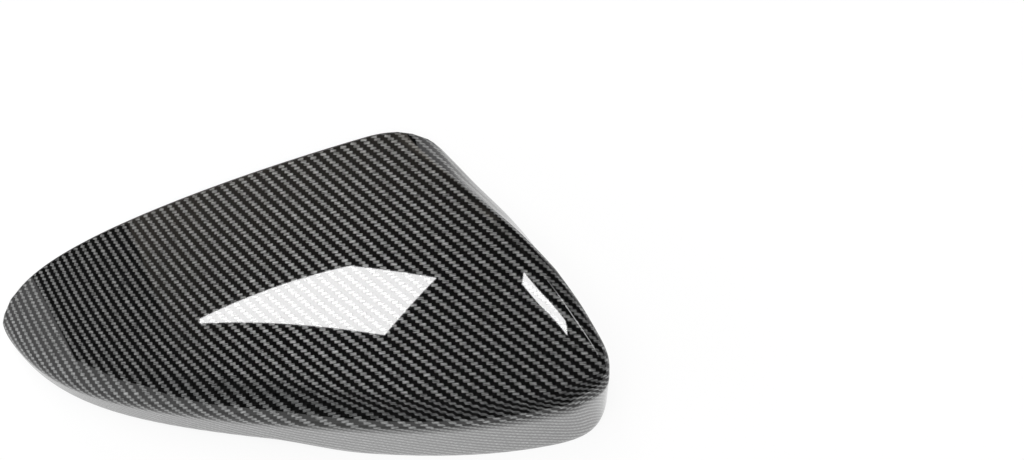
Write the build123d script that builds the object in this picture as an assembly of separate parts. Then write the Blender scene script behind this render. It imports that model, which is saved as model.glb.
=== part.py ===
from build123d import *
import os
from itertools import accumulate
from math import cos, pi, radians, sin, sqrt, tan

# Wing mirror cover: a one-piece moulded clip-on shell, lying on its rim with the open side down.
# X runs from the pointed inboard tip to the outboard end, Y from the skirt to the free back edge, Z up.
# Lengths are in millimetres and drafts in degrees.

# Outer form
COVER_LENGTH = 215.0
COVER_WIDTH = 118.0
CROWN_HEIGHT = 35.3
CROWN_FROM_END = 22.5
TIP_DROP = 36.3
FALL_POWER = 2.35
FACE_TILT = 21.0
CAMBER_RADIUS = 900.0
SKIRT_DRAFT = 5.0
END_DRAFT = 1.5

# Shoulders between face and walls: tight at the tip and the ridge, soft along the skirt and at the back corner
TIP_SHOULDER = 7.0
SKIRT_SHOULDER = 27.0
RIDGE_SHOULDER = 6.0
END_SHOULDER = 18.0
SHOULDER_POWER = 2.2

# Turn of the shoulder, in degrees, that is left out above the skirt, so that it meets the wall in a soft crease
CREASE_TURN = 22.0

# Stations over which the shoulders, the crease and the draft change: 0-1 skirt, 1-2 corner, 2-3 end wall
TIP_TO_SKIRT = (0.1, 0.6)
SKIRT_TO_RIDGE = (0.75, 1.6)
RIDGE_TO_END = (1.9, 2.7)
CREASE_FADE = (1.2, 1.8)
DRAFT_CHANGE = (1.3, 1.9)

# Moulding wall, and the lifted part of the rim towards the tip
WALL = 2.5
RIM_LIFT = 10.0
RIM_LIFT_START = -95.0
RIM_LIFT_END = 23.0
RIM_LIFT_RUN = 33.0
RIM_LIFT_BACK = -20.0

# Clip hooks inside the skirt and the end wall
HOOK_INSET = 11.0
HOOK_WIDTH = 9.0
HOOK_THICK = 2.0
HOOK_GROUND = 3.0
BARB_DEPTH = 1.6
BARB_LENGTH = 4.0
GUSSET_THICK = 1.5
GUSSET_DEPTH = 6.0
GUSSET_GROUND = 9.0
HOOK_STATIONS = [0.52, 0.8, 0.94, 2.22, 2.52]

# Locating pins under the face, each on a boss with crossed webs
PIN_RADIUS = 3.0
PIN_GROUND = 6.0
PIN_LEAD = 1.0
BOSS_RADIUS = 4.5
BOSS_GROUND = 14.0
WEB_SPAN = 16.0
WEB_THICK = 1.5
PIN_PLACES = [(-22.0, -4.0), (58.0, -8.0)]

# Stiffening rib that follows the free back edge
RIB_SETBACK = 7.0
RIB_THICK = 1.6
RIB_HEIGHT = 4.0

# Plan curves, as control points tied to the cover's length and width
TIP_X = -COVER_LENGTH / 2
END_X = COVER_LENGTH / 2
FRONT_Y = -COVER_WIDTH / 2
BACK_Y = COVER_WIDTH / 2
SKIRT_FOOT = [
    (TIP_X - 7.3, 5.3),
    (TIP_X + 16.2, FRONT_Y - 2),
    (TIP_X + 65, FRONT_Y + 20.2),
    (END_X - 90.6, FRONT_Y - 9),
    (END_X - 19.5, FRONT_Y + 5.1),
]
CORNER_FOOT = [
    SKIRT_FOOT[-1],
    (END_X - 5.6, FRONT_Y + 7.9),
    (END_X - 0.3, FRONT_Y + 12.2),
    (END_X - 0.3, FRONT_Y + 27.5),
]
END_FOOT = [
    CORNER_FOOT[-1],
    (END_X - 0.2, FRONT_Y + 44.8),
    (END_X - 30.2, BACK_Y - 35.8),
    (END_X - 63.3, BACK_Y - 2.9),
]
BACK_EDGE = [
    (TIP_X + 0.4, -15.3),
    (TIP_X + 2.7, 7.4),
    (TIP_X + 16.3, 15.1),
    (END_X - 148.5, BACK_Y - 23.8),
    (END_X - 85.6, BACK_Y - 4.6),
]
BACK_CORNER = [
    BACK_EDGE[-1],
    (END_X - 76.5, BACK_Y - 1.8),
    (END_X - 66.5, BACK_Y - 1.8),
    (END_X - 54.5, BACK_Y - 9.5),
]

# Every section of the shell lies on a ray from this pole, which stands behind the back edge
FAN_POLE = Vector(TIP_X + 45.5, BACK_Y + 14)
FAN_REACH = 0.8

CROWN_X = END_X - CROWN_FROM_END
TIP_REACH = CROWN_X - TIP_X
TALL = 3 * CROWN_HEIGHT
MARGIN = 60.0

# Spacing of the points in a section, up the wall, round the shoulder and over the face
WALL_STEPS = [7, 4, 4.5, 1.5]
BEND_STEPS = [1] * 7
FACE_STEPS = [4] * 6
WALL_LAST = 0.25

# Share of a plan curve over which its direction is taken, and rounds that settle a point onto the face
NUDGE = 1e-4
ROUNDS = 10


def bezier(points, t):
    """Point at t on the plan curve with these control points."""
    points = [Vector(*p) for p in points]
    while len(points) > 1:
        points = [a * (1 - t) + b * t for a, b in zip(points, points[1:])]
    return points[0]


def ease(span, value):
    """Smooth step from 0 at the start of the span to 1 at its end."""
    start, end = span
    t = min(max((value - start) / (end - start), 0), 1)
    return t * t * (3 - 2 * t)


def foot(station):
    """Foot of the wall and the unit direction along it: stations 0-1 skirt, 1-2 corner, 2-3 end wall."""
    leg = min(int(station), 2)
    curve = (SKIRT_FOOT, CORNER_FOOT, END_FOOT)[leg]
    t = station - leg
    step = bezier(curve, t + NUDGE) - bezier(curve, t - NUDGE)
    return bezier(curve, t), step.normalized()


def face_height(p):
    """Height of the outer face over a plan point, before the shoulders."""
    fall = TIP_DROP * (abs(CROWN_X - p.X) / TIP_REACH) ** FALL_POWER
    camber = p.Y**2 / (2 * CAMBER_RADIUS)
    return CROWN_HEIGHT - fall - p.Y * tan(radians(FACE_TILT)) - camber


def section(station, inset):
    """One section of the shell sunk by inset: up the wall, round the shoulder and over the face."""
    base, along = foot(station)
    reach = (FAN_POLE - base).length
    inward = (FAN_POLE - base).normalized()
    square = inward.dot(Vector(-along.Y, along.X))
    lean = tan(radians(SKIRT_DRAFT + (END_DRAFT - SKIRT_DRAFT) * ease(DRAFT_CHANGE, station)))
    shoulder = TIP_SHOULDER + (SKIRT_SHOULDER - TIP_SHOULDER) * ease(TIP_TO_SKIRT, station)
    shoulder += (RIDGE_SHOULDER - shoulder) * ease(SKIRT_TO_RIDGE, station)
    shoulder += (END_SHOULDER - shoulder) * ease(RIDGE_TO_END, station)
    bend = shoulder - inset
    crease = radians(CREASE_TURN) * (1 - ease(CREASE_FADE, station))

    def wall_point(z, from_wall):
        p = base + inward * ((z * lean + from_wall) / square)
        return Vector(p.X, p.Y, z)

    def face_point(from_wall, under_face):
        p = wall_point(CROWN_HEIGHT / 2, from_wall)
        for _ in range(ROUNDS):
            p = wall_point(face_height(p) - under_face, from_wall)
        return p

    def across(turn):
        return cos(crease) ** (2 / SHOULDER_POWER) - max(cos(turn), 0) ** (2 / SHOULDER_POWER)

    def bend_point(share):
        turn = crease + (pi / 2 - crease) * share
        down = 1 - sin(turn) ** (2 / SHOULDER_POWER)
        return face_point(inset + bend * across(turn), inset + bend * down)

    bends, faces = len(BEND_STEPS), len(FACE_STEPS)
    rounding = [bend_point(i / bends) for i in range(bends + 1)]
    top = rounding[0].Z
    drop = top + CROWN_HEIGHT
    drops = [drop, sqrt(drop * shoulder), shoulder, shoulder * WALL_LAST]
    wall = [wall_point(top - d, inset) for d in drops]
    near = inset + bend * across(pi / 2)
    far = reach * FAN_REACH * square - near
    over = [face_point(near + far * i / faces, inset) for i in range(1, faces + 1)]
    return wall + rounding + over


def block_under(inset):
    """Everything below the outer skin sunk by inset. The end wall's sections run on past the back edge."""
    skirt = [i / 12 for i in range(12)]
    corner = [1 + i / 8 for i in range(8)]
    end = [2 + i / 14 for i in range(20)]
    marks = list(accumulate([0] + WALL_STEPS + BEND_STEPS + FACE_STEPS))
    shares = [mark / marks[-1] for mark in marks]
    profiles = [Wire([Edge.make_spline(section(s, inset), parameters=shares)]) for s in skirt + corner + end]
    skin = Shell.make_loft(profiles).faces()[0]
    return extrude(skin, amount=TALL, dir=(0, 0, -1))


def inside_back_edge(shift):
    """Upright block of all that lies in front of the back edge moved in by shift."""
    edge = Bezier(*BACK_EDGE)
    corner = Bezier(*BACK_CORNER)
    start, end = edge @ 0, corner @ 1
    rest = Polyline(
        end,
        (END_X + MARGIN, end.Y),
        (END_X + MARGIN, FRONT_Y - MARGIN),
        (TIP_X - MARGIN, FRONT_Y - MARGIN),
        (TIP_X - MARGIN, start.Y),
        start,
    )
    chord = (edge @ 1 - start).normalized()
    block = extrude(make_face(edge + corner + rest), amount=TALL)
    return Pos(chord.Y * shift, -chord.X * shift, 0) * block


def clip_hook(station):
    """Hook plate with its barb towards the wall and one gusset behind, up through the face."""
    base, along = foot(station)
    out = Vector(along.Y, -along.X)
    seat = Plane(base - out * HOOK_INSET, x_dir=out, z_dir=-along)
    plate = Polyline(
        (0, HOOK_GROUND),
        (BARB_DEPTH, HOOK_GROUND + BARB_LENGTH),
        (0, HOOK_GROUND + BARB_LENGTH),
        (0, TALL),
        (-HOOK_THICK, TALL),
        (-HOOK_THICK, HOOK_GROUND),
        close=True,
    )
    gusset = Polyline(
        (-HOOK_THICK, GUSSET_GROUND),
        (-HOOK_THICK - GUSSET_DEPTH, GUSSET_GROUND + GUSSET_DEPTH),
        (-HOOK_THICK - GUSSET_DEPTH, TALL),
        (-HOOK_THICK, TALL),
        close=True,
    )
    hook = extrude(seat * make_face(plate), amount=HOOK_WIDTH / 2, both=True)
    return hook + extrude(seat * make_face(gusset), amount=GUSSET_THICK / 2, both=True)


def locating_pin(place):
    """Round pin with a chamfered lead on a boss with crossed webs, up through the face."""
    low = (Align.CENTER, Align.CENTER, Align.MIN)
    pin = Pos(*place, PIN_GROUND) * Cylinder(PIN_RADIUS, TALL, align=low)
    pin = chamfer(pin.edges().group_by(Axis.Z)[0], PIN_LEAD)
    boss = Cylinder(BOSS_RADIUS, TALL, align=low)
    boss += Box(WEB_SPAN, WEB_THICK, TALL, align=low)
    boss += Box(WEB_THICK, WEB_SPAN, TALL, align=low)
    return pin + Pos(*place, BOSS_GROUND) * boss


def rim_notch():
    """What is cut away from the skirt below the lifted part of the rim."""
    top = (RIM_LIFT_END - RIM_LIFT_RUN, RIM_LIFT)
    foot_end = (RIM_LIFT_END, 0)
    half = RIM_LIFT_RUN / 2
    slope = Line((RIM_LIFT_START, 0), top)
    step = Bezier(top, (top[0] + half, RIM_LIFT), (RIM_LIFT_END - half, 0), foot_end)
    below = Polyline(foot_end, (RIM_LIFT_END, -RIM_LIFT), (RIM_LIFT_START, -RIM_LIFT), (RIM_LIFT_START, 0))
    profile = Plane.XZ * make_face(slope + step + below)
    return Pos(0, RIM_LIFT_BACK, 0) * extrude(profile, amount=COVER_WIDTH)


outer = block_under(0)
cavity = block_under(WALL)
back_rib = inside_back_edge(RIB_SETBACK) - inside_back_edge(RIB_SETBACK + RIB_THICK)
back_rib -= Pos(0, 0, -WALL - RIB_HEIGHT) * outer
cavity -= back_rib
notch = rim_notch()
for station in HOOK_STATIONS:
    hook = clip_hook(station)
    cavity -= hook
    notch -= hook
for place in PIN_PLACES:
    cavity -= locating_pin(place)
cover = (outer & inside_back_edge(0)) - cavity - notch

# The origin is the middle of the footprint, on the plane that the rim rests on
footprint = Compound(cover.edges()).bounding_box()
middle = footprint.center()
cover = Pos(-middle.X, -middle.Y, 0) * cover
print("footprint", footprint.size, "middle", middle, "volume", cover.volume)

os.makedirs("parts", exist_ok=True)
export_step(cover, "parts/mirror_cover.step")
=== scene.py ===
# %% [markdown]
# # A wing mirror cover with a printed twill finish
# The cover is one moulded shell that clips over the back of a car's wing mirror. Outside it
# carries a film printed like woven cloth under clear lacquer, inside it is bare black plastic.
# We load the CAD frame first, so that everything we add sits in the same place and scale.

# %% Load the frame
import math
import bmesh
import bpy
import numpy as np
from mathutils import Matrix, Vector
from mathutils.bvhtree import BVHTree


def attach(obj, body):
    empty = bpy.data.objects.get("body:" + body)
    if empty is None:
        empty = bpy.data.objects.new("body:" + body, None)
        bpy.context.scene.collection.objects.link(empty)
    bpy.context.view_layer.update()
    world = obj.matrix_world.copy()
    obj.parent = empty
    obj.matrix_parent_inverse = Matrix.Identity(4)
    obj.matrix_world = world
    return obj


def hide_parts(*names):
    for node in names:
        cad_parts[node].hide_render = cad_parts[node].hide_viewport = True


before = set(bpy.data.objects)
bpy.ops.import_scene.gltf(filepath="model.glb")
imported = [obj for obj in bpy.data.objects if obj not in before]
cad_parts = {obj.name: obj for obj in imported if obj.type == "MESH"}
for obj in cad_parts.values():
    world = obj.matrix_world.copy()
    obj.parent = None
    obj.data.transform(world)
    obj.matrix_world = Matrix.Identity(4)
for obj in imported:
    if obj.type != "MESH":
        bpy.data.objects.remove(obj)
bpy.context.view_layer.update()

# %% [markdown]
# ## The plan of the cover
# Seen from above the cover is bounded by smooth curves: the foot of the skirt along the front,
# a rounded corner, the end wall, and the free back edge. Each is a Bezier curve with a few
# control points in millimetres, the same as in the CAD. A mesh of our own is worth making,
# because gloss lacquer shows every facet and the CAD's triangles are large on gentle curves.

# %% Plan curves
LENGTH, WIDTH = 215.0, 118.0
TIP_X, END_X = -LENGTH / 2, LENGTH / 2
FRONT_Y, BACK_Y = -WIDTH / 2, WIDTH / 2
SKIRT_FOOT = [(TIP_X - 7.3, 5.3), (TIP_X + 16.2, FRONT_Y - 2), (TIP_X + 65, FRONT_Y + 20.2),
              (END_X - 90.6, FRONT_Y - 9), (END_X - 19.5, FRONT_Y + 5.1)]
CORNER_FOOT = [SKIRT_FOOT[-1], (END_X - 5.6, FRONT_Y + 7.9), (END_X - 0.3, FRONT_Y + 12.2),
               (END_X - 0.3, FRONT_Y + 27.5)]
END_FOOT = [CORNER_FOOT[-1], (END_X - 0.2, FRONT_Y + 44.8), (END_X - 30.2, BACK_Y - 35.8),
            (END_X - 63.3, BACK_Y - 2.9)]
BACK_EDGE = [(TIP_X + 0.4, -15.3), (TIP_X + 2.7, 7.4), (TIP_X + 16.3, 15.1),
             (END_X - 148.5, BACK_Y - 23.8), (END_X - 85.6, BACK_Y - 4.6)]
BACK_CORNER = [BACK_EDGE[-1], (END_X - 76.5, BACK_Y - 1.8), (END_X - 66.5, BACK_Y - 1.8),
               (END_X - 54.5, BACK_Y - 9.5)]
NUDGE, EDGE_POINTS, CORNER_POINTS = 1e-4, 400, 200

# Every section lies on a ray from the pole behind the back edge. The CAD has its origin in the
# middle of the footprint, which lies here in the plan.
FAN_POLE = np.array([TIP_X + 45.5, BACK_Y + 14])
FOOTPRINT_MIDDLE = np.array([0.266978, -0.814967, 0.0])


def bezier(points, t):
    """Points at the shares t on the curve with these control points."""
    t = np.asarray(t, float)[..., None]
    points = [np.array(p) + 0 * t for p in points]
    while len(points) > 1:
        points = [a * (1 - t) + b * t for a, b in zip(points, points[1:])]
    return points[0]


def foot(station):
    """Foot of the wall and the direction along it: stations 0-1 skirt, 1-2 corner, 2-3 end wall."""
    at, step = np.zeros(station.shape + (2,)), np.zeros(station.shape + (2,))
    for leg, curve in enumerate((SKIRT_FOOT, CORNER_FOOT, END_FOOT)):
        here = np.clip(np.floor(station), 0, 2) == leg
        t = station[here] - leg
        at[here] = bezier(curve, t)
        step[here] = bezier(curve, t + NUDGE) - bezier(curve, t - NUDGE)
    return at, step / np.linalg.norm(step, axis=-1, keepdims=True)


def outward(along):
    """Direction out of the cover, square to the direction along its foot."""
    return np.stack([along[..., 1], -along[..., 0]], -1)


back_curve = np.concatenate([bezier(BACK_EDGE, np.linspace(0, 1, EDGE_POINTS)),
                             bezier(BACK_CORNER, np.linspace(0, 1, CORNER_POINTS)[1:])])
print("back edge runs from", back_curve[0], "to", back_curve[-1])

# %% [markdown]
# ## The skin of the cover
# Every section through the shell goes up the drafted wall, round a shoulder and over the face,
# which is highest near the outboard end and falls to the tip and to the back edge. One number
# from 0 to 3 tells where on its section a point is. The shoulder is a superellipse, rounder than
# a fillet at its start and end, so reflections run over it without a jump. Along the foot the
# sizes ease from one to the next, each over its own stretch of stations. At the outboard end a
# narrow facet lies beyond a fine ridge, and towards the back corner the wall bulges like a barrel.

# %% Skin formula
CROWN_HEIGHT, CROWN_X, TIP_DROP, FALL_POWER = 35.3, END_X - 22.5, 36.3, 2.35
FACE_TILT, CAMBER_RADIUS = math.tan(math.radians(21.0)), 900.0
WALL, FAN_REACH, SETTLE_ROUNDS = 2.5, 0.8, 20

# Drafts in degrees and shoulders in millimetres: the first one, then each next one with its stretch
SKIRT_DRAFT = 6.4
NEXT_DRAFTS = [(8.5, (0.8, 1.1)), (1.5, (1.45, 1.9)), (5.0, (2.45, 2.85))]
TIP_SHOULDER, LEAST_SHOULDER, SHOULDER_POWER = 7.0, 0.3, 2.2
NEXT_SHOULDERS = [(21.0, (0.1, 0.9)), (9.0, (0.45, 1.1)), (1.8, (1.6, 2.1)), (1.6, (2.5, 2.65)),
                  (8.0, (2.76, 2.95))]

# Turn of the shoulder that is left out above the skirt, so that it meets the wall in a crease
CREASE_TURN, CREASE_RISE, CREASE_FALL = math.radians(27.0), (0.45, 0.8), (1.2, 1.8)

# Facet between the ridge and the end wall
FACET_WIDTH, FACET_SLOPE, FACET_BLEND = 4.9, math.tan(math.radians(20.0)), 0.5
FACET_WIDENS, FACET_RISE, FACET_FALL = (1.8, 2.15), (1.8, 2.0), (2.45, 2.75)

# Small shifts of the end wall's foot, inward below the facet and outward below the barrel
TRIM, TRIM_RISE, TRIM_FALL = 0.75, (2.05, 2.25), (2.42, 2.6)
FLARE, FLARE_RISE, FLARE_FALL = 1.0, (2.48, 2.64), (2.68, 2.85)
BARREL_RADIUS, BARREL_RISE = 36.0, (2.45, 2.85)


def ease(stretch, value):
    """Smooth step from 0 at the start of the stretch to 1 at its end."""
    start, end = stretch
    t = np.clip((value - start) / (end - start), 0, 1)
    return t * t * (3 - 2 * t)


def between(rise, fall, value):
    """Smooth step up over the rise and down again over the fall."""
    return ease(rise, value) * (1 - ease(fall, value))


def in_turn(first, others, station):
    """Size that starts as the first and eases to each of the others in turn."""
    for size, stretch in others:
        first = first + (size - first) * ease(stretch, station)
    return first


def face_height(x, y):
    """Height of the outer face over a plan point, before the shoulders."""
    fall = TIP_DROP * (np.abs(CROWN_X - x) / (CROWN_X - TIP_X)) ** FALL_POWER
    return CROWN_HEIGHT - fall - y * FACE_TILT - y * y / (2 * CAMBER_RADIUS)


def skin(station, place, inset=0.0):
    """Points on the skin sunk by inset: place 0-1 up the wall, 1-2 round the shoulder, 2-3 the face."""
    base, along = foot(station)
    shift = FLARE * between(FLARE_RISE, FLARE_FALL, station) - TRIM * between(TRIM_RISE, TRIM_FALL, station)
    base = base + shift[..., None] * outward(along)
    inward = FAN_POLE - base
    reach = np.linalg.norm(inward, axis=-1)
    inward = inward / reach[..., None]
    square = inward[..., 1] * along[..., 0] - inward[..., 0] * along[..., 1]
    lean = np.tan(np.radians(in_turn(SKIRT_DRAFT, NEXT_DRAFTS, station)))
    barrel = ease(BARREL_RISE, station) / (2 * BARREL_RADIUS)
    bend = np.maximum(in_turn(TIP_SHOULDER, NEXT_SHOULDERS, station) - inset, LEAST_SHOULDER)
    crease = CREASE_TURN * between(CREASE_RISE, CREASE_FALL, station)
    full = np.cos(crease) ** (2 / SHOULDER_POWER)

    def at_height(z, from_wall):
        run = (z * lean + barrel * np.clip(z, 0, None) ** 2 + from_wall) / square
        return base[..., 0] + inward[..., 0] * run, base[..., 1] + inward[..., 1] * run

    def settle(from_wall, under_face):
        z = np.full(station.shape, CROWN_HEIGHT / 2)
        for _ in range(SETTLE_ROUNDS):
            z = face_height(*at_height(z, from_wall)) - under_face
        return z

    turn = crease + (math.pi / 2 - crease) * np.clip(place - 1, 0, 1)
    across = full - np.clip(np.cos(turn), 0, 1) ** (2 / SHOULDER_POWER)
    down = 1 - np.clip(np.sin(turn), 0, 1) ** (2 / SHOULDER_POWER)
    far = np.clip(place - 2, 0, 1) * (reach * FAN_REACH * square - inset - bend * full)
    from_wall = inset + bend * across + far
    past_ridge = FACET_WIDTH * ease(FACET_WIDENS, station) - from_wall
    facet = FACET_SLOPE * between(FACET_RISE, FACET_FALL, station)
    facet = facet * (past_ridge + np.sqrt(past_ridge ** 2 + FACET_BLEND ** 2)) / 2
    z = settle(from_wall, inset + bend * down + facet)
    low = -CROWN_HEIGHT
    z = np.where(place < 1, low + (z - low) * np.clip(place, 0, 1), z)
    x, y = at_height(z, from_wall)
    return np.stack([x, y, z], -1)


along_skirt = np.linspace(0.6, 1.0, 50)
crest_heights = skin(along_skirt, np.full(along_skirt.shape, 2.0))[:, 2]
print("crest along the skirt", crest_heights.min().round(1), "to", crest_heights.max().round(1), "mm high")

# %% [markdown]
# ## Where the skin stops
# The rim is flat on the table but for the part towards the tip, which is lifted to clear the
# mirror's arm. The back edge is a cut straight down through the skin. For each section we look
# for the places where it leaves the rim and where it meets the back edge by halving the range
# again and again, which is slow to say but quick to run on whole arrays.

# %% Rim and back edge
RIM_LIFT, RIM_LIFT_START, RIM_LIFT_END, RIM_LIFT_RUN, RIM_LIFT_BACK = 10.0, -95.0, 23.0, 33.0, -20.0
TRIALS, HALVINGS = np.linspace(0, 3, 601), 40


def rim_height(p):
    """Height of the rim where the skirt passes the point p."""
    top = RIM_LIFT_END - RIM_LIFT_RUN
    slope = np.clip((p[..., 0] - RIM_LIFT_START) / (top - RIM_LIFT_START), 0, 1)
    lift = RIM_LIFT * slope * (1 - ease((top, RIM_LIFT_END), p[..., 0]))
    return np.where(p[..., 1] < RIM_LIFT_BACK, lift, 0.0)


def past_back_edge(p):
    """How far p lies behind the back edge, negative in front of it."""
    return p[..., 1] - np.interp(p[..., 0], back_curve[:, 0], back_curve[:, 1])


def kept(station, place, inset, setback):
    """Whether the skin is kept: above the rim or on the face, and in front of the back edge."""
    p = skin(station, place, inset)
    above = (p[..., 2] >= rim_height(p) + setback) | (place >= 2)
    return above & (past_back_edge(p) <= -setback)


def span(station, inset, setback):
    """First and last place of each section that is kept, sought on a row of trials and then halved."""
    shape = (len(station), len(TRIALS))
    rows = np.broadcast_to(station[:, None], shape), np.broadcast_to(TRIALS, shape)
    inside = kept(*rows, inset, setback)
    found = inside.any(axis=1)
    inside = np.where(found[:, None], inside, kept(*rows, inset, 0.0))
    setback = np.where(found, setback, 0.0)
    ends = []
    for order in (1, -1):
        at = inside[:, ::order].argmax(axis=1)
        good, bad = TRIALS[::order][at], TRIALS[::order][np.maximum(at - 1, 0)]
        for _ in range(HALVINGS):
            half = (good + bad) / 2
            hit = kept(station, half, inset, setback)
            good, bad = np.where(hit, half, good), np.where(hit, bad, half)
        ends.append(good)
    return ends


def last_station(inside, outside):
    """Last station where both skins still have a kept part, between one inside and one outside."""
    for _ in range(HALVINGS):
        half = (inside + outside) / 2
        row = np.full(TRIALS.shape, half)
        if all(kept(row, TRIALS, inset, 0.0).sum() > 2 for inset in (0.0, WALL)):
            inside = half
        else:
            outside = half
    return inside


tip_station, corner_station = last_station(0.5, 0.0), last_station(2.5, 3.3)
print("sections run from station", round(tip_station, 3), "to", round(corner_station, 3))

# %% [markdown]
# ## Grids of the two skins
# The outer and the inner skin are grids with the same rows, spaced evenly along the wall's foot.
# Columns crowd at the shoulder, where the skin turns fastest. The outer grid stops a little short
# of the rim and of the back edge, which leaves room for the small rounding that a moulded edge has.

# %% Grids
ROWS, WALK_POINTS, EDGE = 400, 4000, 0.6
OUTER_COLUMNS, INNER_COLUMNS = (10, 40, 120), (6, 14, 22)
LEAST_WALL, LEAST_BEND, LEAST_FACE, LEAST_TOP = 0.05, 0.1, 0.1, 0.3
WALL_LAST, FACE_CROWDING = 0.8, 1.6

even = np.linspace(tip_station, corner_station, WALK_POINTS)
walk = np.concatenate([[0], np.cumsum(np.linalg.norm(np.diff(foot(even)[0], axis=0), axis=1))])
stations = np.interp(np.linspace(0, walk[-1], ROWS), walk, even)
stations[[0, -1]] = tip_station, corner_station


def grid(inset, columns, setback):
    """Grid of skin points, a row per station and the columns from the rim to the back edge."""
    rim, end = span(stations, inset, setback)
    whole = end - rim
    bend_low = np.clip(1.0, rim + LEAST_WALL * whole, end - LEAST_TOP * whole)
    bend_high = np.clip(2.0, bend_low + LEAST_BEND * whole, end - LEAST_FACE * whole)
    wall, bend, face = [np.linspace(0, 1, n, endpoint=False) for n in columns]
    wall = wall * WALL_LAST / wall[-1]
    face = np.append(face, 1.0) ** FACE_CROWDING
    place = [low[:, None] + (high - low)[:, None] * share for low, high, share in
             ((rim, bend_low, wall), (bend_low, bend_high, bend), (bend_high, end, face))]
    place = np.concatenate(place, axis=1)
    return skin(np.broadcast_to(stations[:, None], place.shape), place, inset)


def rounded(skin_end, corner, inner_end):
    """Points round the edge at the corner, from the skin's end to the flat towards the inner skin."""
    way = inner_end - corner
    flat_start = corner + EDGE * way / np.maximum(np.linalg.norm(way, axis=-1, keepdims=True), EDGE)
    share = np.array([0.25, 0.5, 0.75, 1.0])[None, :, None]
    first = skin_end[:, None] * (1 - share) + corner[:, None] * share
    second = corner[:, None] * (1 - share) + flat_start[:, None] * share
    return first * (1 - share) + second * share


outer, inner = grid(0.0, OUTER_COLUMNS, EDGE), grid(WALL, INNER_COLUMNS, 0.0)
rim_place, end_place = span(stations, 0.0, 0.0)
rim_round = rounded(outer[:, 0], skin(stations, rim_place), inner[:, 0])
back_round = rounded(outer[:, -1], skin(stations, end_place), inner[:, -1])
print("outer grid", outer.shape[:2], "inner grid", inner.shape[:2])

# %% [markdown]
# ## How the film lies
# On the real cover a printed film is floated onto the moulding. It lies flat on the face, is drawn
# out towards the tip, and wraps over the shoulders by its length. Round the outboard corner its
# rows follow the crest, and at the back corner it is pulled straight over the edge. We work out
# film coordinates, counted in tows of the weave, for every point of the outer grid.

# %% Film coordinates
# Width of a tow in millimetres down the film, and tows to the millimetre along it
TOW, ALONG_RATE = 1.24, 0.775
FILM_TILT, FILM_MIDDLE = math.radians(28.0), -11.0
TIP_STRETCH, STRETCH_REACH = 33.6, 190.0
FRONT_SAG, FRONT_SAG_FROM, TIP_SAG, TIP_SAG_FROM = 0.00165, 5.0, 0.00245, -25.0
CORNER_START, CORNER_SETTLE = 1.0, (0.0, 10.0)
TURN_RISE, TURN_FALL, PULL_RISE = (0.65, 1.0), (1.4, 2.4), (2.35, 2.75)


def film(p, crest_column):
    """Film coordinates in tows of grid points, whose column at the crest divides wall and face."""
    x = p[..., 0]
    flat_y = math.cos(FILM_TILT) * (p[..., 1] - FILM_MIDDLE) - math.sin(FILM_TILT) * p[..., 2]
    stretch = (CROWN_X - x) / STRETCH_REACH
    u = ALONG_RATE * x - TIP_STRETCH * stretch ** 3
    u = u - FRONT_SAG * np.clip(FRONT_SAG_FROM - flat_y, 0, None) ** 2
    v = -flat_y / TOW + TIP_SAG * np.clip(TIP_SAG_FROM - x, 0, None) ** 2

    # Wrapped over the shoulder: as far out from the crest as the way down the skin is long
    wall = np.s_[:, :crest_column]
    crest, crest_u, crest_v = p[:, [crest_column]], u[:, [crest_column]], v[:, [crest_column]]
    step = np.linalg.norm(np.diff(p[:, :crest_column + 1], axis=1), axis=-1)
    length = np.cumsum(step[:, ::-1], axis=1)[:, ::-1]
    out = outward(foot(stations)[1])[:, None]
    shift = p[wall][..., :2] - crest[..., :2]
    shift = shift + out * (length - (shift * out).sum(-1))[..., None]
    rate = ALONG_RATE + 3 * TIP_STRETCH / STRETCH_REACH * stretch[:, [crest_column]] ** 2
    wall_u, wall_v = crest_u + rate * shift[..., 0], crest_v - shift[..., 1] / TOW

    # Turned with the crest round the outboard corner
    walked = np.concatenate([[0], np.cumsum(np.linalg.norm(np.diff(crest[:, 0], axis=0), axis=-1))])
    anchor = np.abs(stations - CORNER_START).argmin()
    turned_u = crest_u[anchor] + rate * (walked - walked[anchor])[:, None]
    turned_v = crest_v[anchor] + length / TOW
    turned = between(TURN_RISE, TURN_FALL, stations)[:, None] * ease(CORNER_SETTLE, length)

    wrapped = 1 - ease(PULL_RISE, stations)[:, None]
    u[wall] += (wall_u + (turned_u - wall_u) * turned - u[wall]) * wrapped
    v[wall] += (wall_v + (turned_v - wall_v) * turned - v[wall]) * wrapped
    return np.stack([u, v], -1)


tows = film(outer, OUTER_COLUMNS[0] + OUTER_COLUMNS[1])
print("film runs over", np.ptp(tows[..., 0]).round(), "by", np.ptp(tows[..., 1]).round(), "tows")

# %% [markdown]
# ## Closing the shell
# Strips of faces along the rim, along the back edge and at both ends close the two skins into a
# watertight shell. All points get running numbers, block by block, and a face is four of these
# numbers, so neighbouring strips share their points and no gap can open between them.

# %% Faces of the shell
def quads(ids, flip):
    """Faces of a grid of point numbers."""
    q = np.stack([ids[:-1, :-1], ids[1:, :-1], ids[1:, 1:], ids[:-1, 1:]], -1).reshape(-1, 4)
    return q[:, ::-1] if flip else q


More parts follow.
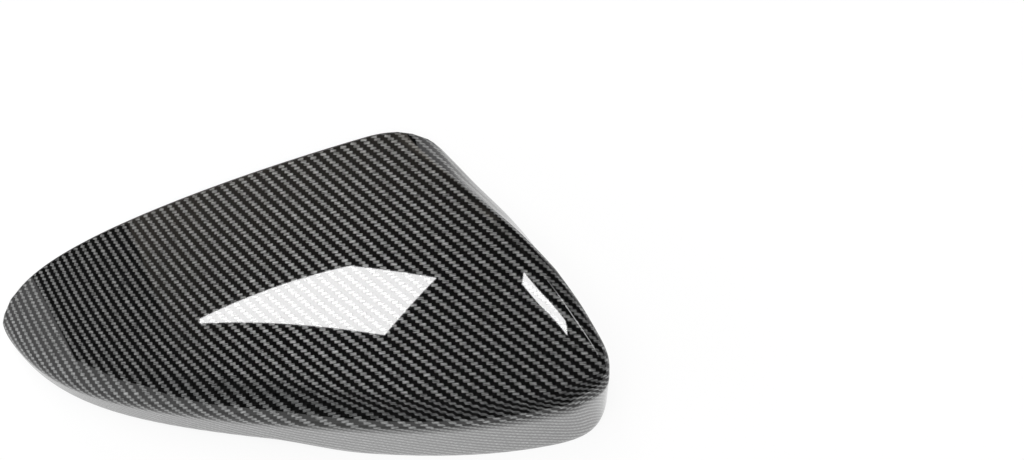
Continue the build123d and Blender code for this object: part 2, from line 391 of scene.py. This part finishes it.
blocks = (outer, inner, rim_round, back_round)
numbers, start = [], 0
for block in blocks:
    size = block.shape[0] * block.shape[1]
    numbers.append(np.arange(start, start + size).reshape(block.shape[:2]))
    start += size
out_ids, in_ids, rim_ids, back_ids = numbers
rim_ids = np.concatenate([out_ids[:, :1], rim_ids, in_ids[:, :1]], axis=1)
back_ids = np.concatenate([out_ids[:, -1:], back_ids, in_ids[:, -1:]], axis=1)
faces_out = quads(out_ids, False)
faces_in = np.concatenate([quads(in_ids, True), quads(rim_ids, True), quads(back_ids, False)])
loops = np.concatenate([out_ids, back_ids[:, 1:-1], in_ids[:, ::-1], rim_ids[:, -2:0:-1]], axis=1)
end_caps = [loops[0].tolist(), loops[-1, ::-1].tolist()]
all_faces = np.concatenate([faces_out, faces_in]).tolist() + end_caps
points = (np.concatenate([block.reshape(-1, 3) for block in blocks]) - FOOTPRINT_MIDDLE) / 1000
points[:, 2] = np.maximum(points[:, 2], 0.0)
print("faces outside", len(faces_out), "and inside", len(faces_in))

# %% [markdown]
# ## The shell as one mesh
# The film coordinates become a UV map, because the print follows the skin and not the world. At
# the tip the rows shrink to points, so we weld what falls together there. Edges that turn by more
# than a given angle stay sharp in the shading, and everything else is smooth.

# %% Shell mesh
WELD, SHARP = 1e-6, math.radians(40)


def new_mesh(name, vertices, faces):
    """Mesh object made from points in metres and lists of point numbers."""
    mesh = bpy.data.meshes.new(name)
    mesh.from_pydata([tuple(v) for v in vertices], [], [tuple(f) for f in faces])
    thing = bpy.data.objects.new(name, mesh)
    bpy.context.scene.collection.objects.link(thing)
    return thing


shell = new_mesh("mirror_cover_shell", points, all_faces)
mesh = shell.data
layer = mesh.uv_layers.new(name="film")
corner_points = np.zeros(len(mesh.loops), int)
mesh.loops.foreach_get("vertex_index", corner_points)
flat = np.zeros((len(points), 2))
flat[:out_ids.size] = tows.reshape(-1, 2)
layer.data.foreach_set("uv", flat[corner_points].astype(np.float32).ravel())
inside = np.arange(len(all_faces)) >= len(faces_out)
mesh.polygons.foreach_set("material_index", inside.astype(np.int32))
mesh.polygons.foreach_set("use_smooth", np.ones(len(all_faces), bool))
weld = bmesh.new()
weld.from_mesh(mesh)
bmesh.ops.remove_doubles(weld, verts=weld.verts, dist=WELD)
bmesh.ops.dissolve_degenerate(weld, edges=weld.edges, dist=WELD)
weld.to_mesh(mesh)
weld.free()
mesh.set_sharp_from_angle(angle=SHARP)
print("shell", len(mesh.vertices), "points, box", points.min(0).round(4), points.max(0).round(4))

# %% [markdown]
# ## Fittings that grow out of the wall
# Hooks, pins and a rib are moulded in one with the shell, so each of them runs a little way into
# its wall. Casting a ray straight up against the shell tells how high the wall is over any place.
# Every fitting is then a row of slices joined by faces. That keeps the meshes clean, where a
# boolean with so dense a shell would leave slivers.

# %% Slices that reach the wall
ROOT, SOFT_EDGE, SOFT_SEGMENTS, RAY_START = 1.2, 0.0003, 2, -0.01

inner_faces = range(len(faces_out), len(faces_out) + in_ids[1:, 1:].size)
shell_tree = BVHTree.FromPolygons(points.tolist(), all_faces)


def ceiling(plan):
    """Height of the inner skin over each plan point, not a number where it isn't met first."""
    plan = np.asarray(plan, float)
    heights = []
    for x, y in plan.reshape(-1, 2) - FOOTPRINT_MIDDLE[:2]:
        place, _, face, _ = shell_tree.ray_cast(Vector((x / 1000, y / 1000, RAY_START)), Vector((0, 0, 1)))
        heights.append(place.z * 1000 if face in inner_faces else np.nan)
    return np.array(heights).reshape(plan.shape[:-1])


def standing(plan, low):
    """Slice points over plan points, at the height low, or sunk into the wall where low is None."""
    z = ceiling(plan) + ROOT if low is None else np.broadcast_to(low, np.shape(plan)[:-1])
    return np.concatenate([plan, np.asarray(z)[..., None]], axis=-1)


def swept(slices, start):
    """Points and faces of a closed body through its slices, numbered from start."""
    rows, columns = slices.shape[:2]
    ids = start + np.arange(rows * columns).reshape(rows, columns)
    ends = [ids[0].tolist(), ids[-1].tolist()]
    around = quads(np.concatenate([ids, ids[:, :1]], axis=1), False).tolist()
    return slices.reshape(-1, 3), around + ends


def fitting(name, bodies):
    """One piece from several swept bodies, with soft edges and all faces turned outward."""
    vertices, faces = np.zeros((0, 3)), []
    for slices in bodies:
        more, around = swept(slices, len(vertices))
        vertices, faces = np.concatenate([vertices, more]), faces + around
    piece = new_mesh(name, (vertices - FOOTPRINT_MIDDLE) / 1000, faces)
    work = bmesh.new()
    work.from_mesh(piece.data)
    bmesh.ops.recalc_face_normals(work, faces=work.faces)
    work.to_mesh(piece.data)
    work.free()
    soften = piece.modifiers.new("soft edges", "BEVEL")
    soften.width, soften.segments, soften.limit_method = SOFT_EDGE, SOFT_SEGMENTS, "ANGLE"
    return piece


print("wall over the middle of the cover is", ceiling(np.zeros(2)).round(1), "mm up")

# %% [markdown]
# ## Snap hooks
# Five hooks snap into slots of the mirror's housing. Each is a plate with a barb that faces the
# wall, and a gusset behind keeps it from breaking off. The profile is swept over the plate's
# width in several slices, because the wall above it isn't flat.

# %% Hooks
HOOK_STATIONS = [0.52, 0.8, 0.94, 2.22, 2.52]
HOOK_INSET, HOOK_WIDTH, HOOK_THICK, HOOK_GROUND, HOOK_SLICES = 11.0, 9.0, 2.0, 3.0, 9
BARB_DEPTH, BARB_LENGTH = 1.6, 4.0
GUSSET_THICK, GUSSET_DEPTH, GUSSET_GROUND, GUSSET_OVERLAP = 1.5, 6.0, 9.0, 0.5


def hook_bodies(station):
    """Plate with its barb towards the wall, and the gusset behind it."""
    base, along = [row[0] for row in foot(np.array([station]))]
    out = outward(along)

    def slices(width, count, profile):
        made = []
        for side in np.linspace(-width / 2, width / 2, count):
            middle = base - out * HOOK_INSET + along * side
            made.append([standing(middle + out * reach, low) for reach, low in profile])
        return np.array(made)

    barb_top = HOOK_GROUND + BARB_LENGTH
    plate = [(0, HOOK_GROUND), (BARB_DEPTH, barb_top), (0, barb_top), (0, None), (-HOOK_THICK, None),
             (-HOOK_THICK, HOOK_GROUND)]
    front, back = GUSSET_OVERLAP - HOOK_THICK, -HOOK_THICK - GUSSET_DEPTH
    gusset = [(front, GUSSET_GROUND - GUSSET_OVERLAP), (back, GUSSET_GROUND + GUSSET_DEPTH), (back, None),
              (front, None)]
    return [slices(HOOK_WIDTH, HOOK_SLICES, plate), slices(GUSSET_THICK, 2, gusset)]


fittings = [fitting("clip_hook_%d" % (i + 1), hook_bodies(s)) for i, s in enumerate(HOOK_STATIONS)]
print("hooks", len(fittings))

# %% [markdown]
# ## Locating pins
# Two pins find holes of the housing when the cover is pushed on, and their chamfered ends lead
# them in. Crossed webs hold the boss of each pin upright. Pin and boss are rings of points stacked
# up, like a cylinder that has a radius of its own at each height.

# %% Pins
PIN_PLACES = [(-22.0, -4.0), (58.0, -8.0)]
PIN_RADIUS, PIN_GROUND, PIN_LEAD, PIN_OVERLAP, PIN_CORNERS = 3.0, 6.0, 1.0, 1.0, 32
BOSS_RADIUS, BOSS_GROUND = 4.5, 14.0
WEB_SPAN, WEB_THICK, WEB_SLICES = 16.0, 1.5, 9


def pin_bodies(place):
    """Round pin with a chamfered lead, its boss and two crossed webs."""
    turn = np.linspace(0, 2 * math.pi, PIN_CORNERS, endpoint=False)
    ring = np.stack([np.cos(turn), np.sin(turn)], -1)
    pin = [(PIN_RADIUS - PIN_LEAD, PIN_GROUND), (PIN_RADIUS, PIN_GROUND + PIN_LEAD),
           (PIN_RADIUS, BOSS_GROUND + PIN_OVERLAP)]
    boss = [(BOSS_RADIUS, BOSS_GROUND), (BOSS_RADIUS, None)]
    bodies = [np.array([standing(place + radius * ring, low) for radius, low in profile])
              for profile in (pin, boss)]
    for lengthways, sideways in (((1, 0), (0, 1)), ((0, 1), (1, 0))):
        lengthways, sideways = np.array(lengthways), np.array(sideways) * WEB_THICK / 2
        steps = np.linspace(-WEB_SPAN / 2, WEB_SPAN / 2, WEB_SLICES)
        middles = [place + lengthways * step for step in steps]
        bodies.append(np.array([[standing(m - sideways, BOSS_GROUND), standing(m + sideways, BOSS_GROUND),
                                 standing(m + sideways, None), standing(m - sideways, None)]
                                for m in middles]))
    return bodies


pins = [fitting("locating_pin_%d" % (i + 1), pin_bodies(np.array(p))) for i, p in enumerate(PIN_PLACES)]
fittings += pins
print("pins", len(pins))

# %% [markdown]
# ## Back rib
# A low rib stiffens the free back edge, which would give under a thumb without it. It follows the
# edge at a small distance. Only the places with the inner wall above them are kept, so its ends
# run out into the walls.

# %% Rib
RIB_SETBACK, RIB_THICK, RIB_HEIGHT, RIB_STEP = 7.0, 1.6, 4.0, 6


def rib_bodies():
    """Low rib that follows the back edge and ends in the walls."""
    chord = np.subtract(BACK_EDGE[-1], BACK_EDGE[0])
    inward = outward(chord / np.linalg.norm(chord))
    line = back_curve[::RIB_STEP]
    near, far = line + inward * RIB_SETBACK, line + inward * (RIB_SETBACK + RIB_THICK)
    free = ~np.isnan(ceiling(near) + ceiling(far))
    near, far = near[free], far[free]
    return [np.stack([standing(near, np.maximum(ceiling(near) - RIB_HEIGHT, 0)),
                      standing(far, np.maximum(ceiling(far) - RIB_HEIGHT, 0)),
                      standing(far, None), standing(near, None)], axis=1)]


fittings.append(fitting("back_rib", rib_bodies()))
print("fittings", [piece.name for piece in fittings])

# %% [markdown]
# ## Colours and nodes
# We build materials from nodes in code. Colours are written as sRGB hex values, as a paint program
# shows them, but Blender wants linear light, so one function turns them. Another adds a node with
# its settings and links, so that a material can be read from top to bottom.

# %% Helpers for materials
def linear(hex_colour):
    """Linear colour from an sRGB hex string."""
    parts = [int(hex_colour[i:i + 2], 16) / 255 for i in (1, 3, 5)]
    return [c / 12.92 if c <= 0.04045 else ((c + 0.055) / 1.055) ** 2.4 for c in parts] + [1.0]


def node(tree, kind, inputs=None, **settings):
    """Adds a node, sets its properties, and fills or links its inputs."""
    made = tree.nodes.new(kind)
    for key, value in settings.items():
        setattr(made, key, value)
    for key, value in (inputs or {}).items():
        if isinstance(value, bpy.types.NodeSocket):
            tree.links.new(value, made.inputs[key])
        else:
            made.inputs[key].default_value = value
    return made


def new_material(name):
    """Empty material with its node tree and output."""
    material = bpy.data.materials.new(name)
    material.use_nodes = True
    tree = material.node_tree
    tree.nodes.clear()
    return material, tree, tree.nodes.new("ShaderNodeOutputMaterial")


print("middle grey in linear light is", round(linear("#808080")[0], 3))

# %% [markdown]
# ## The print under lacquer
# The film shows a two-over-two twill: each light dash covers two tows and steps over by one in
# the next row. Counting tows along and down and taking the difference modulo four tells which
# thread lies on top, so no picture is needed. Light threads reflect a little like metal, as the
# bronzed ink of such films does, so they brighten towards a lamp and go dark away from it. The
# clear lacquer is a coat of its own with the usual index of 1.5, and makes all the highlights.

# %% Twill print
# How far from its middle a dash, and from its axis a row, begins to show and is full, in tows
DASH_EDGES, ROW_EDGES, REPEAT = (1.08, 0.55), (0.64, 0.2), 4.0

# Streaks two tows long and under half a tow wide, as real fibres are too fine to show from here
FIBRE_SCALE, FIBRE_CONTRAST = (0.5, 2.4, 1.0), (0.3, 0.7)
THREAD_SHEEN = 0.85

# A printed and lacquered film: dark ink with light dashes below, mirror-like gloss on top
twill, tree, out = new_material("printed twill under clear lacquer")
uv = node(tree, "ShaderNodeUVMap", uv_map="film")
axes = node(tree, "ShaderNodeSeparateXYZ", {0: uv.outputs[0]})
row = node(tree, "ShaderNodeMath", {0: axes.outputs[1]}, operation="FLOOR")
shifted = node(tree, "ShaderNodeMath", {0: axes.outputs[0], 1: row.outputs[0]}, operation="SUBTRACT")
along = node(tree, "ShaderNodeMath", {0: shifted.outputs[0], 1: REPEAT}, operation="FLOORED_MODULO")
from_middle = node(tree, "ShaderNodeMath", {0: along.outputs[0], 1: REPEAT / 4}, operation="SUBTRACT")
from_middle = node(tree, "ShaderNodeMath", {0: from_middle.outputs[0]}, operation="ABSOLUTE")
dash = node(tree, "ShaderNodeMapRange", {0: from_middle.outputs[0], 1: DASH_EDGES[0], 2: DASH_EDGES[1]},
            interpolation_type="SMOOTHSTEP")
across = node(tree, "ShaderNodeMath", {0: axes.outputs[1]}, operation="FRACT")
from_axis = node(tree, "ShaderNodeMath", {0: across.outputs[0], 1: 0.5}, operation="SUBTRACT")
from_axis = node(tree, "ShaderNodeMath", {0: from_axis.outputs[0]}, operation="ABSOLUTE")
swell = node(tree, "ShaderNodeMapRange", {0: from_axis.outputs[0], 1: ROW_EDGES[0], 2: ROW_EDGES[1]},
             interpolation_type="SMOOTHSTEP")
light_thread = node(tree, "ShaderNodeMath", {0: dash.outputs[0], 1: swell.outputs[0]}, operation="MULTIPLY")
stretched = node(tree, "ShaderNodeMapping", {0: uv.outputs[0], 3: FIBRE_SCALE})
fibre = node(tree, "ShaderNodeTexNoise", {0: stretched.outputs[0], "Scale": 1.0, "Detail": 2.0})
fibre = node(tree, "ShaderNodeMapRange", {0: fibre.outputs[0], 1: FIBRE_CONTRAST[0], 2: FIBRE_CONTRAST[1]})
grey = node(tree, "ShaderNodeMix", {0: fibre.outputs[0], 6: linear("#3e3f3f"), 7: linear("#acadad")},
            data_type="RGBA")
black = node(tree, "ShaderNodeMix", {0: fibre.outputs[0], 6: linear("#020202"), 7: linear("#161616")},
             data_type="RGBA")
colour = node(tree, "ShaderNodeMix", {0: light_thread.outputs[0], 6: black.outputs[2], 7: grey.outputs[2]},
              data_type="RGBA")
sheen = node(tree, "ShaderNodeMath", {0: light_thread.outputs[0], 1: THREAD_SHEEN}, operation="MULTIPLY")
lacquer = node(tree, "ShaderNodeBsdfPrincipled",
               {"Base Color": colour.outputs[2], "Metallic": sheen.outputs[0], "Roughness": 0.45,
                "IOR": 1.5, "Specular IOR Level": 0.0,
                "Coat Weight": 1.0, "Coat Roughness": 0.015, "Coat IOR": 1.5})
tree.links.new(lacquer.outputs[0], out.inputs[0])
print("material", twill.name)

# %% [markdown]
# ## Bare plastic
# Inside nothing was painted: we see the black ABS as it left the mould. Its surface copies the
# fine spark-eroded grain of the steel, which makes it satin. All of our pieces then ride on the
# one body of the frame and stand in for its solid.

# %% Black ABS
# Grain in millimetres. Noise without a vector spans the piece's own box, here the cover's length.
GRAIN_WIDTH, GRAIN_DEPTH = 0.086, 0.0001

# A satin moulding: soft wide highlights and a faint grain that shows only close up
plastic, tree, out = new_material("bare moulded black ABS")
grain = node(tree, "ShaderNodeTexNoise", {"Scale": LENGTH / GRAIN_WIDTH, "Detail": 2.0})
bump = node(tree, "ShaderNodeBump", {"Height": grain.outputs[0], "Strength": 0.15, "Distance": GRAIN_DEPTH})
shade = node(tree, "ShaderNodeMix", {0: grain.outputs[0], 6: linear("#161617"), 7: linear("#222223")},
             data_type="RGBA")
body = node(tree, "ShaderNodeBsdfPrincipled",
            {"Base Color": shade.outputs[2], "Roughness": 0.5, "IOR": 1.54, "Normal": bump.outputs[0]})
tree.links.new(body.outputs[0], out.inputs[0])

mesh.materials.append(twill)
mesh.materials.append(plastic)
for piece in fittings:
    piece.data.materials.append(plastic)
for piece in [shell] + fittings:
    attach(piece, "root")
    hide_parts("mirror_cover")
print("materials", [m.name for m in mesh.materials])

# %% [markdown]
# ## Studio table
# The cover lies on plain white paper. Camera and gloss see it as nearly white by itself, and the
# rest of it is a matt paint that takes the soft shadow. Gloss sees the white a little dimmer, a
# painted shade that stands in for the cover's shade on the paper round it. The lacquer mirrors
# the paper at a flat angle, and that is where the grey gloss of the skirt and of the end comes from.

# %% Floor
FLOOR_RADIUS, FLOOR_CORNERS, FLOOR_DROP = 1.6, 96, 0.0002
# Share of the paint that takes the real shadow, painted shade of the paper as gloss sees it, and mottles
# across the floor
SHADOW_SHARE, GLOSS_PAINTED_SHADE, MOTTLES_ACROSS = 0.12, 0.14, 3.0

# Matt paper with a faint mottle about a metre wide: white, with a soft shadow and no highlight
paper, tree, out = new_material("white studio paper")
mottle = node(tree, "ShaderNodeTexNoise", {"Scale": MOTTLES_ACROSS})
tint = node(tree, "ShaderNodeMix", {0: mottle.outputs[0], 6: linear("#f8f8f8"), 7: linear("#fcfcfc")},
            data_type="RGBA")
paint = node(tree, "ShaderNodeBsdfDiffuse", {"Color": tint.outputs[2]})
path = node(tree, "ShaderNodeLightPath")
# Gloss rays see the paper's glow turned down: painted shade for the cover's shade on the paper round it
level = node(tree, "ShaderNodeMath", {0: path.outputs["Is Glossy Ray"], 1: -GLOSS_PAINTED_SHADE, 2: 1.0},
             operation="MULTIPLY_ADD")
glow = node(tree, "ShaderNodeEmission", {"Color": linear("#ffffff"), "Strength": level.outputs[0]})
seen = path.outputs["Is Camera Ray"]
for other in ("Is Glossy Ray", "Is Transmission Ray"):
    seen = node(tree, "ShaderNodeMath", {0: seen, 1: path.outputs[other]}, operation="MAXIMUM").outputs[0]
share = node(tree, "ShaderNodeMath", {0: seen, 1: 1 - SHADOW_SHARE}, operation="MULTIPLY")
mixed = node(tree, "ShaderNodeMixShader", {0: share.outputs[0], 1: paint.outputs[0], 2: glow.outputs[0]})
tree.links.new(mixed.outputs[0], out.inputs[0])

ring = np.linspace(0, 2 * math.pi, FLOOR_CORNERS, endpoint=False)
disk = FLOOR_RADIUS * np.stack([np.cos(ring), np.sin(ring), 0 * ring], -1)
floor = new_mesh("floor", disk, [list(range(FLOOR_CORNERS))])
floor.location.z = -FLOOR_DROP
floor.data.materials.append(paper)
print("floor of", FLOOR_RADIUS, "m radius")

# %% [markdown]
# ## Soft boxes
# The lacquer mirrors its surroundings, so what stands round the table matters more than the
# lamps. A soft box behind makes the bright patch on the face, a narrow strip the slim one beside
# it, and a small box catches the ridge at the outboard end. They are panels that shine by
# themselves and not area lamps, because a panel can have any corners we like.

# %% Soft boxes
# Corners in metres, or as azimuth and elevation in degrees at a distance
SOFT_BOX = [(-0.562, 0.751, 0.617), (-0.244, 0.853, 0.679), (-0.073, 0.85, 0.722), (-0.175, 0.778, 0.769),
            (-0.560, 0.745, 0.6215)]
STRIP_BOX = [(0.074, 0.861, 0.723), (0.127, 0.804, 0.775), (0.128, 0.785, 0.791), (0.071, 0.847, 0.737)]
EDGE_BOX, EDGE_DISTANCE = [(15, 32), (24, 32), (24, 39), (15, 39)], 1.25
SOFT_LEVEL, STRIP_LEVEL, EDGE_LEVEL = 19.5, 21.0, 9.0


def direction(azimuth, elevation):
    """Unit vector: azimuth from +Y towards +X, elevation above the table, in degrees."""
    a, e = math.radians(azimuth), math.radians(elevation)
    return Vector((math.sin(a) * math.cos(e), math.cos(a) * math.cos(e), math.sin(e)))


def panel(name, corners, colour, strength, faces=None):
    """Shining panel with these corners, and its emission node."""
    thing = new_mesh(name, corners, faces or [list(range(len(corners)))])
    material, tree, out = new_material(name)
    glow = node(tree, "ShaderNodeEmission", {"Color": linear(colour), "Strength": strength})
    tree.links.new(glow.outputs[0], out.inputs[0])
    thing.data.materials.append(material)
    thing.visible_camera = False
    return thing, glow


soft_box, _ = panel("soft_box", SOFT_BOX, "#ffffff", SOFT_LEVEL)
strip_box, _ = panel("strip_box", STRIP_BOX, "#ffffff", STRIP_LEVEL)
edge_corners = [direction(*corner) * EDGE_DISTANCE for corner in EDGE_BOX]
edge_box, _ = panel("edge_box", edge_corners, "#ffffff", EDGE_LEVEL)
print("soft boxes", [box.name for box in (soft_box, strip_box, edge_box)])

# %% [markdown]
# ## Screens
# A pale curved screen round the front and the sides veils the tip and lifts the edge above the
# skirt. Behind the cover a wall fades up into the dark room: its strength follows the height in
# its own box, which the Generated coordinates give from 0 to 1.

# %% Screens
# Azimuth and elevation of the tops of the screens, in degrees
SCREEN_TOPS = [(-51, 26), (-58, 32), (-66, 36.5), (-77, 40), (-88, 44), (-99, 46), (-115, 42.5),
               (-131, 35.5), (-143, 24.5), (-177, 25.5), (-197, 24), (-225, 18), (-245, 25), (-265, 34),
               (-280, 36)]
WALL_TOPS = [(-40, 38), (14, 38)]
SCREEN_DISTANCE, SCREEN_LEVEL, WALL_DISTANCE, WALL_LEVEL = 1.2, 1.3, 1.3, 1.0


def screen(name, tops, distance, colour, strength):
    """Curved screen on the table round the cover, with the elevation of its top at each azimuth."""
    low = [direction(azimuth, 0) * distance for azimuth, _ in tops]
    high = [p + Vector((0, 0, distance * math.tan(math.radians(top)))) for p, (_, top) in zip(low, tops)]
    n = len(tops)
    return panel(name, low + high, colour, strength, [(i, i + 1, n + i + 1, n + i) for i in range(n - 1)])


pale_screen, _ = screen("pale_screen", SCREEN_TOPS, SCREEN_DISTANCE, "#ffffff", SCREEN_LEVEL)
back_wall, glow = screen("back_wall", WALL_TOPS, WALL_DISTANCE, "#fff4e4", WALL_LEVEL)
tree = back_wall.data.materials[0].node_tree
place = node(tree, "ShaderNodeTexCoord")
height = node(tree, "ShaderNodeSeparateXYZ", {0: place.outputs["Generated"]})
fade = node(tree, "ShaderNodeMapRange", {0: height.outputs[2], 3: WALL_LEVEL, 4: 0.0},
            interpolation_type="SMOOTHSTEP")
tree.links.new(fade.outputs[0], glow.inputs["Strength"])
print("screens", [pale_screen.name, back_wall.name])

# %% [markdown]
# ## Fill and room
# A broad lamp high above lights the print. It is left out of mirror reflections, as it would be
# flagged off in a studio, and the room all round is nearly black.

# %% Fill and room
FILL_SIZE, FILL_HEIGHT, FILL_WATTS = 1.6, 1.5, 22.0

fill = bpy.data.objects.new("fill", bpy.data.lights.new("fill", "AREA"))
fill.data.shape, fill.data.size, fill.data.energy = "DISK", FILL_SIZE, FILL_WATTS
fill.location.z = FILL_HEIGHT
fill.visible_glossy = False
fill.visible_camera = False
bpy.context.scene.collection.objects.link(fill)

world = bpy.data.worlds.new("dark studio")
bpy.context.scene.world = world
world.use_nodes = True
world.node_tree.nodes["Background"].inputs[0].default_value = linear("#161616")
print("fill of", FILL_WATTS, "W in the", world.name)

# %% [markdown]
# ## Camera
# A long lens looks down from nearly straight above, as in the photo, with the cover in the left
# of the frame. A long lens keeps the far end of the cover from shrinking.

# %% Camera
AIM, CAMERA_ELEVATION, CAMERA_DISTANCE = Vector((0.073233, 0.023415, 0.0)), 80.0, 0.83
LENS, SENSOR = 82.0, 36.0

camera = bpy.data.objects.new("camera", bpy.data.cameras.new("camera"))
camera.data.lens, camera.data.sensor_width = LENS, SENSOR
camera.location = AIM + CAMERA_DISTANCE * direction(180.0, CAMERA_ELEVATION)
camera.rotation_mode = "QUATERNION"
camera.rotation_quaternion = (AIM - camera.location).to_track_quat("-Z", "Y")
bpy.context.scene.collection.objects.link(camera)
bpy.context.scene.camera = camera
bpy.context.scene.view_settings.view_transform = "Standard"
print("camera at", [round(c, 3) for c in camera.location])
